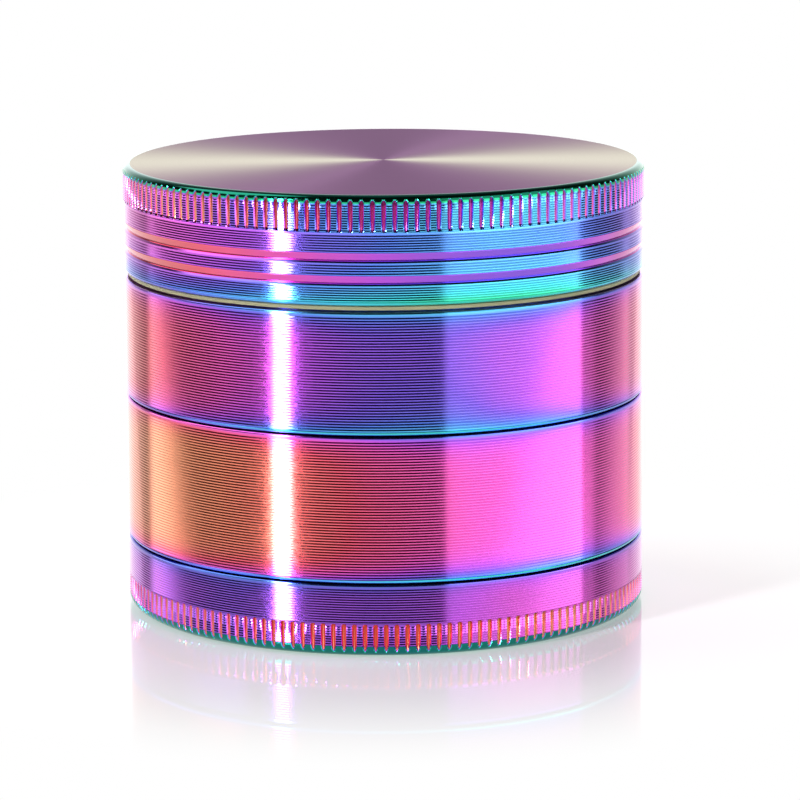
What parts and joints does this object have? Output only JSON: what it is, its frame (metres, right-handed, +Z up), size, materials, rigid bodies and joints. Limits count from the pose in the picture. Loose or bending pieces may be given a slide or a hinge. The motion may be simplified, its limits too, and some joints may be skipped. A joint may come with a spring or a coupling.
{
  "type": "hand herb grinder",
  "caption": "Round hand grinder in stacked parts: knurled lid and toothed grinding chamber, screw-on sieve chamber with a mesh screen, and a knurled catch tray.",
  "frame": {"origin": "centre of the tray's underside, on the axis that all parts share", "axes": "+Z up along the common axis, from the tray to the lid; +X and +Y are free directions across it"},
  "size_m": [0.05, 0.05, 0.0428],
  "materials": {
    "lid_metal": "turned metal with a rainbow interference coating, violet and blue on the side, grey-mauve on the brushed top",
    "chamber_metal": "turned metal with a rainbow interference coating, violet to magenta with a blue rim",
    "sieve_metal": "turned metal with a rainbow interference coating, magenta to violet with a teal rim",
    "tray_metal": "turned metal with a rainbow interference coating, violet with a teal foot",
    "thread_metal": "machined thread under the same coating",
    "tooth_metal": "machined teeth under the same coating",
    "ring_plastic": "satin beige nylon",
    "gasket_rubber": "matt translucent silicone",
    "screen_steel": "woven stainless wire",
    "ring_steel": "bright stamped steel",
    "magnet_nickel": "nickel plate"
  },
  "bodies": {
    "tray": {"catch_tray": "tray_metal", "tray_thread": "thread_metal"},
    "sieve_seal": {"screen_gasket": "gasket_rubber"},
    "sieve": {"sieve_chamber": "sieve_metal", "sieve_lower_thread": "thread_metal", "sieve_upper_thread": "thread_metal", "mesh_screen": "screen_steel", "screen_clamp_ring": "ring_steel"},
    "chamber_core": {"chamber_magnet": "magnet_nickel"},
    "chamber": {"grinding_chamber": "chamber_metal", "chamber_thread": "thread_metal", "chamber_outer_teeth": "tooth_metal", "chamber_inner_teeth": "tooth_metal", "friction_ring": "ring_plastic"},
    "lid_core": {"lid_magnet": "magnet_nickel"},
    "lid": {"lid": "lid_metal", "lid_outer_teeth": "tooth_metal", "lid_inner_teeth": "tooth_metal"}
  },
  "joints": [
    {"name": "sieve_rise", "type": "slide", "parent": "tray", "child": "sieve_seal", "axis": [0, 0, 1], "range_m": [0, 0.0045]},
    {"name": "sieve_unscrew", "type": "hinge", "parent": "sieve_seal", "child": "sieve", "pos_m": [0, 0, 0.0069], "axis": [0, 0, 1], "range_deg": [0, 1080]},
    {"name": "chamber_rise", "type": "slide", "parent": "sieve", "child": "chamber_core", "axis": [0, 0, 1], "range_m": [0, 0.0045]},
    {"name": "chamber_unscrew", "type": "hinge", "parent": "chamber_core", "child": "chamber", "pos_m": [0, 0, 0.0207], "axis": [0, 0, 1], "range_deg": [0, 1080]},
    {"name": "lid_lift", "type": "slide", "parent": "chamber", "child": "lid_core", "axis": [0, 0, 1], "range_m": [0, 0.03]},
    {"name": "lid_spin", "type": "hinge", "parent": "lid_core", "child": "lid", "pos_m": [0, 0, 0.0428], "axis": [0, 0, 1], "continuous": true}
  ],
  "couplings": [
    {"joint": "sieve_rise", "follows": "sieve_unscrew", "m_per_rad": 0.00023873},
    {"joint": "chamber_rise", "follows": "chamber_unscrew", "m_per_rad": 0.00023873}
  ]
}
